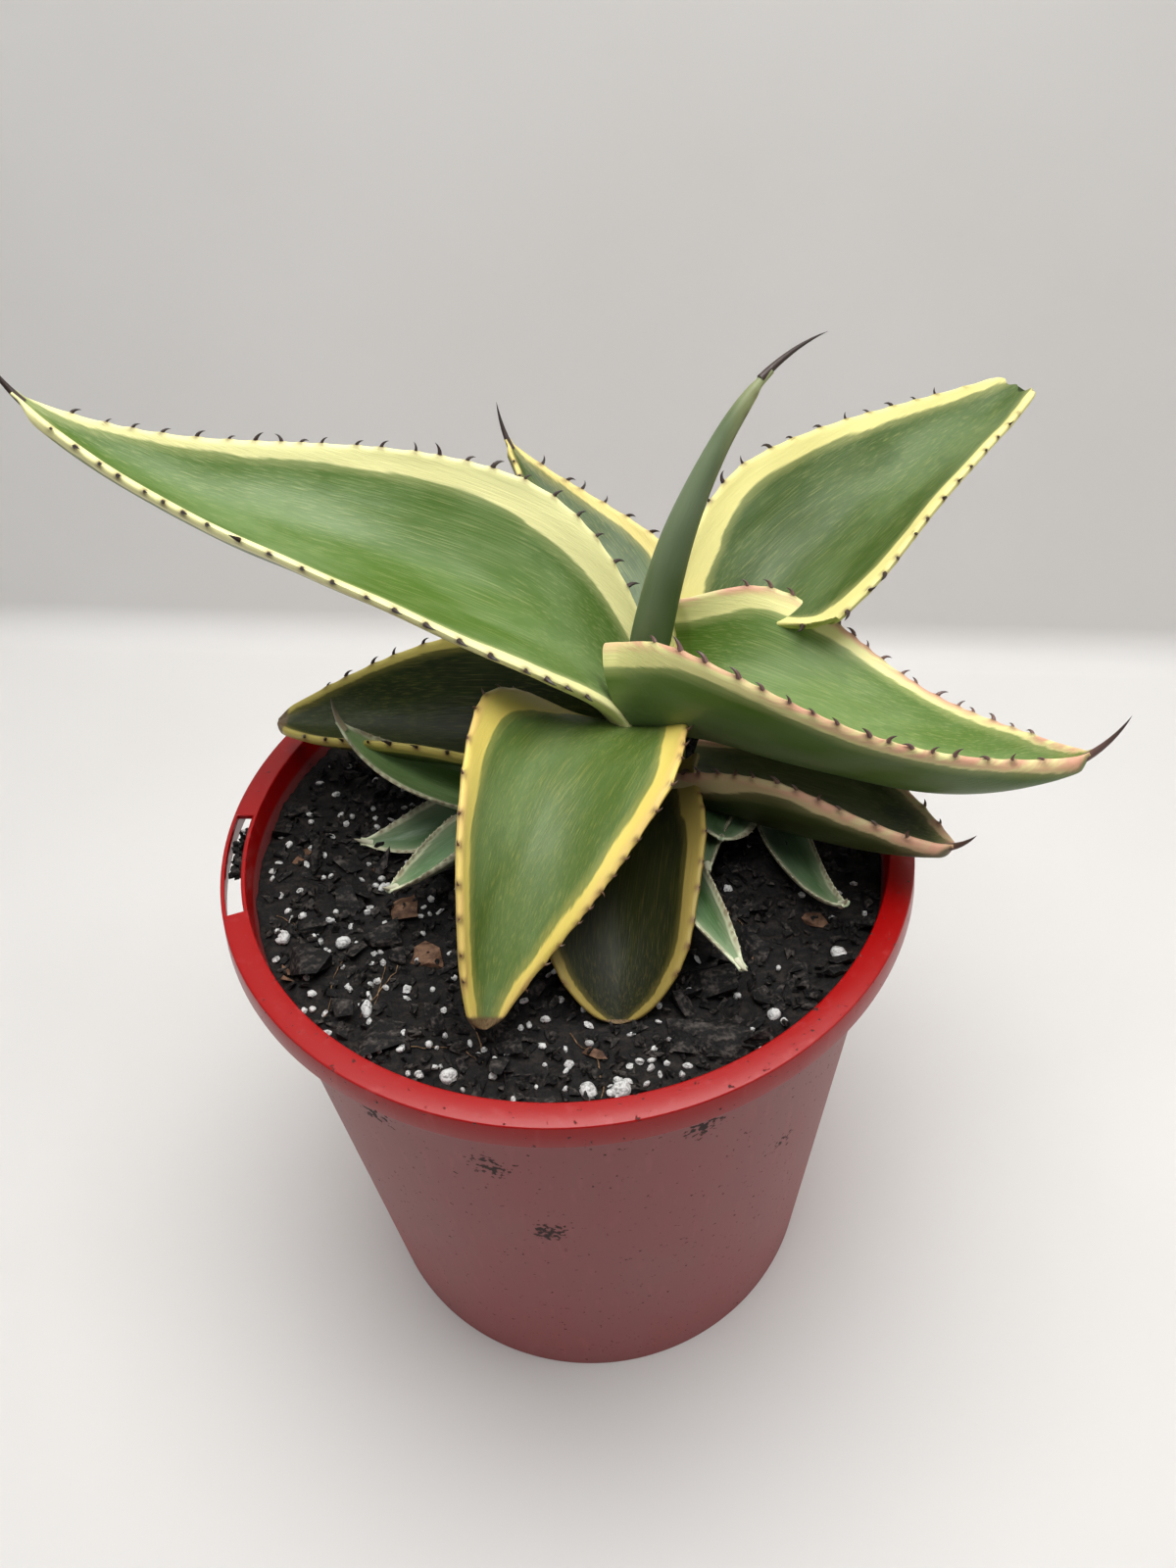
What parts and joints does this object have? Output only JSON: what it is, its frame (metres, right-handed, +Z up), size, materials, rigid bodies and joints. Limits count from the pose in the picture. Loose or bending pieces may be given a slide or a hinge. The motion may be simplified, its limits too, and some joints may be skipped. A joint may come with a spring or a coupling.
{
  "type": "potted agave",
  "caption": "Variegated agave rosette with toothed cream-edged leaves and young offsets, rooted in bark mix in a flanged round nursery pot.",
  "frame": {"origin": "centre of the underside of the pot's centre pad, on the surface it stands on", "axes": "+Z up along the pot's axis; the label slot is towards -X and the viewer of the rest pose stands towards -Y"},
  "size_m": [0.2997, 0.2149, 0.3192],
  "materials": {
    "red_plastic": "satin moulded plastic, dusty with dried mix",
    "potting_mix": "damp dark bark mix",
    "stem": "waxy plant skin",
    "agave_leaf": "waxy green leaf with cream margins",
    "young_leaf": "waxy green leaf with white margins",
    "brown_bark": "dry bark",
    "dark_bark": "charred damp bark",
    "perlite": "white porous grain"
  },
  "bodies": {
    "root": {"pot": "red_plastic", "potting_mix": "potting_mix", "stem_mother": "stem", "stem_offset_left": "stem", "stem_offset_front": "stem", "stem_offset_right": "stem", "leaf_heart": "agave_leaf", "leaf_right_upper": "agave_leaf", "leaf_left_upper": "agave_leaf", "leaf_back_right": "agave_leaf", "leaf_back_left": "agave_leaf", "leaf_front_upper": "agave_leaf", "leaf_right_lower": "agave_leaf", "leaf_left_lower": "agave_leaf", "leaf_front_lower": "agave_leaf", "offset_left_leaf_1": "young_leaf", "offset_left_leaf_2": "young_leaf", "offset_left_leaf_3": "young_leaf", "offset_front_leaf_1": "young_leaf", "offset_front_leaf_2": "young_leaf", "offset_right_leaf_1": "young_leaf", "offset_right_leaf_2": "young_leaf", "offset_right_leaf_3": "young_leaf", "bark_chip_1": "brown_bark", "bark_chip_2": "brown_bark", "bark_chip_3": "dark_bark", "bark_chip_4": "dark_bark", "bark_chip_5": "dark_bark", "bark_chip_6": "dark_bark", "bark_chip_7": "dark_bark", "perlite_1": "perlite", "perlite_2": "perlite", "perlite_3": "perlite", "perlite_4": "perlite", "perlite_5": "perlite", "perlite_6": "perlite", "perlite_7": "perlite", "perlite_8": "perlite"}
  },
  "joints": []
}
